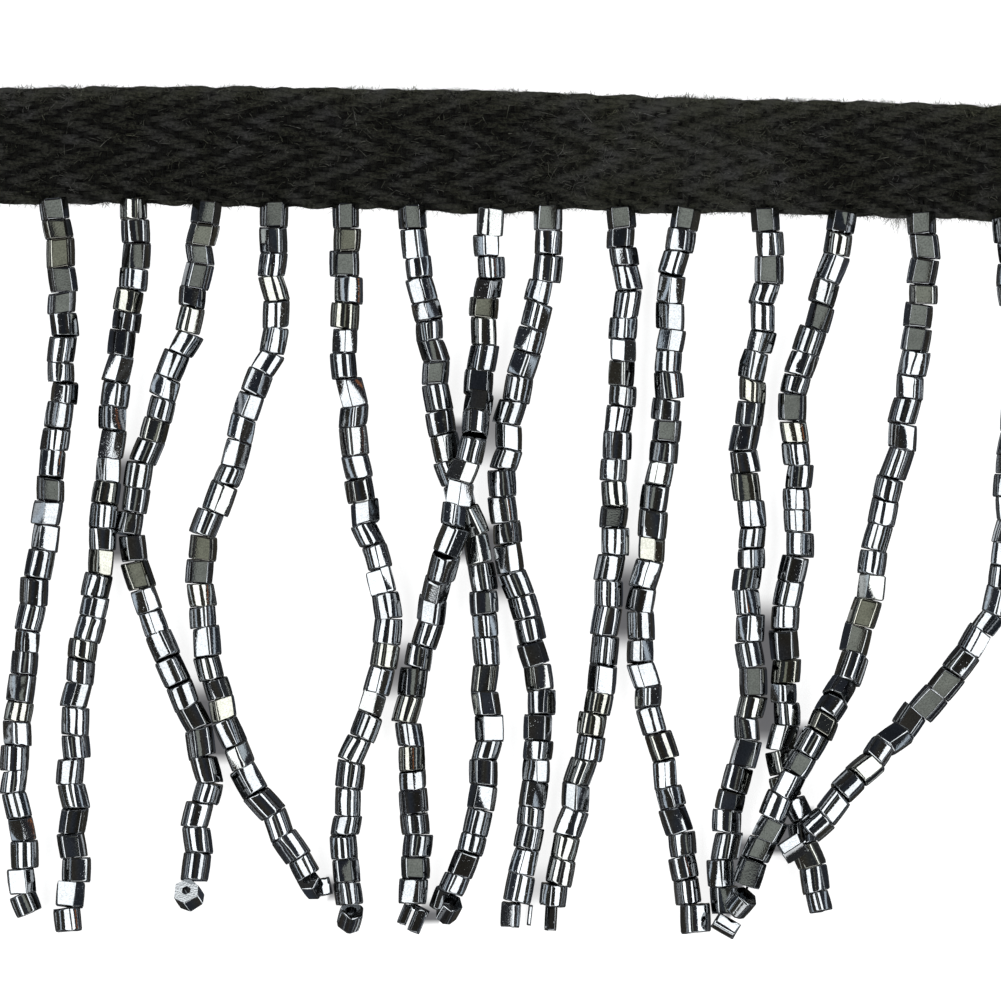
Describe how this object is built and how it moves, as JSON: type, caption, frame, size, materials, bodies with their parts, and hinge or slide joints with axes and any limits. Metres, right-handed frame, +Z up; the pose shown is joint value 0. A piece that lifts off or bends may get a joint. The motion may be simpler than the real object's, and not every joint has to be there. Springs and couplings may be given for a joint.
{
  "type": "beaded fringe trim",
  "caption": "Cut length of herringbone tape with a fringe of faceted tube beads strung from its lower edge, lying flat.",
  "frame": {"origin": "under the middle of the whole trim, on the surface that it lies on", "axes": "+X along the tape, +Y from the fringe towards the tape, +Z up out of the trim's face"},
  "size_m": [0.093, 0.0746, 0.0046],
  "materials": {
    "tape_cotton": "matte black cotton in a herringbone twill, slightly fuzzy",
    "cut_beads": "dark glass with a mirror-bright gunmetal coating, cut in flat facets"
  },
  "bodies": {
    "root": {"tape": "tape_cotton", "fringe": "cut_beads"}
  },
  "joints": []
}
